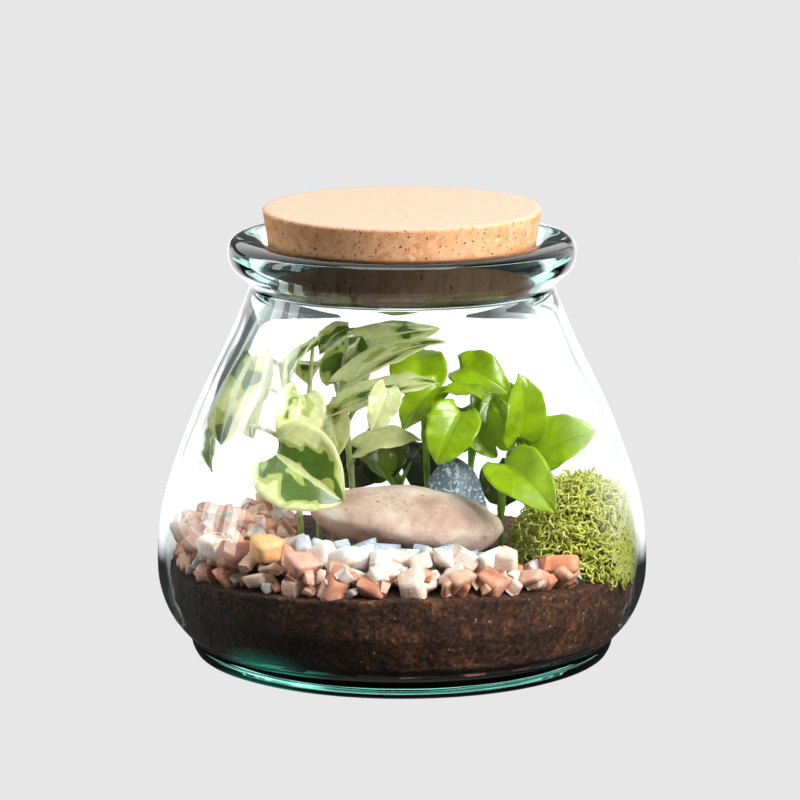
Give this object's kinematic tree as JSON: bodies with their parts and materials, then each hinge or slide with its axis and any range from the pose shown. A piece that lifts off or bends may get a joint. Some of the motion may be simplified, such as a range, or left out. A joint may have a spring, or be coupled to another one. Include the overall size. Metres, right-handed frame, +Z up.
{
  "type": "glass plant terrarium",
  "caption": "Pear-shaped blown glass jar with a wide cork, holding soil, gravel, stones, a moss cushion and variegated and green heart-leaved vines.",
  "frame": {"origin": "centre of the ring that the jar stands on, level with the surface under it", "axes": "+Z up along the jar's turning axis, towards the cork; -Y towards the viewer, at the front where the gravel and the flat stone show; +X to the viewer's right, where the moss is"},
  "size_m": [0.23, 0.23, 0.2128],
  "materials": {
    "glass": "polished",
    "cork": "matte",
    "soil": "matte",
    "pink_gravel": "matte",
    "grey_gravel": "matte",
    "amber_gravel": "matte",
    "terracotta_gravel": "matte",
    "white_gravel": "matte",
    "sandstone": "matte",
    "slate": "matte",
    "moss": "matte",
    "variegated_leaf": "satin",
    "green_leaf": "satin"
  },
  "bodies": {
    "root": {"jar": "glass", "cork_stopper": "cork", "drainage_pebbles": "pink_gravel", "potting_soil": "soil", "gravel_bed": "pink_gravel", "white_pebbles": "white_gravel", "blue_grey_pebbles": "grey_gravel", "amber_pebble": "amber_gravel", "rose_pebble": "pink_gravel", "terracotta_pebble": "terracotta_gravel", "flat_stone": "sandstone", "slate_stone": "slate", "moss_cushion": "moss", "variegated_vine_1": "variegated_leaf", "variegated_vine_2": "variegated_leaf", "variegated_vine_3": "variegated_leaf", "variegated_vine_4": "variegated_leaf", "green_vine_1": "green_leaf", "green_vine_2": "green_leaf", "green_vine_3": "green_leaf", "green_vine_4": "green_leaf"}
  },
  "joints": []
}
